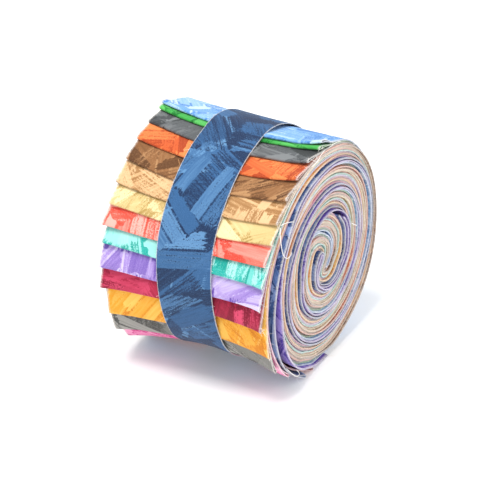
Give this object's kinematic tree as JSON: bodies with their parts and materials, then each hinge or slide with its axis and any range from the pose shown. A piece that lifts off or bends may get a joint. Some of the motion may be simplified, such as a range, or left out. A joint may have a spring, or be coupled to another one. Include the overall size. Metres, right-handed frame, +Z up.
{
  "type": "rolled fabric strip bundle",
  "caption": "Folded cotton fabric strips wound together into a short roll, with a spiral end face, stepped folded ends down the front and a narrow fabric tie band.",
  "frame": {"origin": "bottom centre of the bundle's box, on the surface that it rests on", "axes": "+Z up, X along the roll's axis with the face in view toward +X, the stepped strip ends on the -Y side"},
  "size_m": [0.0644, 0.0892, 0.0886],
  "materials": {
    "wound_edges": "raw cut edges of printed cotton",
    "sky_blue_cotton": "printed plain-weave quilting cotton, matt",
    "green_cotton": "printed plain-weave quilting cotton, matt",
    "charcoal_cotton": "printed plain-weave quilting cotton, matt",
    "rust_cotton": "printed plain-weave quilting cotton, matt",
    "brown_cotton": "printed plain-weave quilting cotton, matt",
    "tan_cotton": "printed plain-weave quilting cotton, matt",
    "cream_cotton": "printed plain-weave quilting cotton, matt",
    "coral_cotton": "printed plain-weave quilting cotton, matt",
    "turquoise_cotton": "printed plain-weave quilting cotton, matt",
    "lilac_cotton": "printed plain-weave quilting cotton, matt",
    "crimson_cotton": "printed plain-weave quilting cotton, matt",
    "gold_cotton": "printed plain-weave quilting cotton, matt",
    "grey_cotton": "printed plain-weave quilting cotton, matt",
    "pink_cotton": "printed plain-weave quilting cotton, matt",
    "navy_cotton": "printed plain-weave quilting cotton, matt",
    "red_cotton": "printed plain-weave quilting cotton, matt",
    "purple_cotton": "printed plain-weave quilting cotton, matt",
    "blue_print_band": "printed plain-weave cotton with raw frayed edges, matt"
  },
  "bodies": {
    "root": {"wound_roll": "wound_edges", "strip_end_01": "sky_blue_cotton", "strip_end_02": "green_cotton", "strip_end_03": "charcoal_cotton", "strip_end_04": "rust_cotton", "strip_end_05": "brown_cotton", "strip_end_06": "tan_cotton", "strip_end_07": "cream_cotton", "strip_end_08": "coral_cotton", "strip_end_09": "turquoise_cotton", "strip_end_10": "lilac_cotton", "strip_end_11": "crimson_cotton", "strip_end_12": "gold_cotton", "strip_end_13": "grey_cotton", "strip_end_14": "pink_cotton", "strip_end_15": "navy_cotton", "strip_end_16": "red_cotton", "strip_end_17": "purple_cotton", "tie_band": "blue_print_band"}
  },
  "joints": []
}
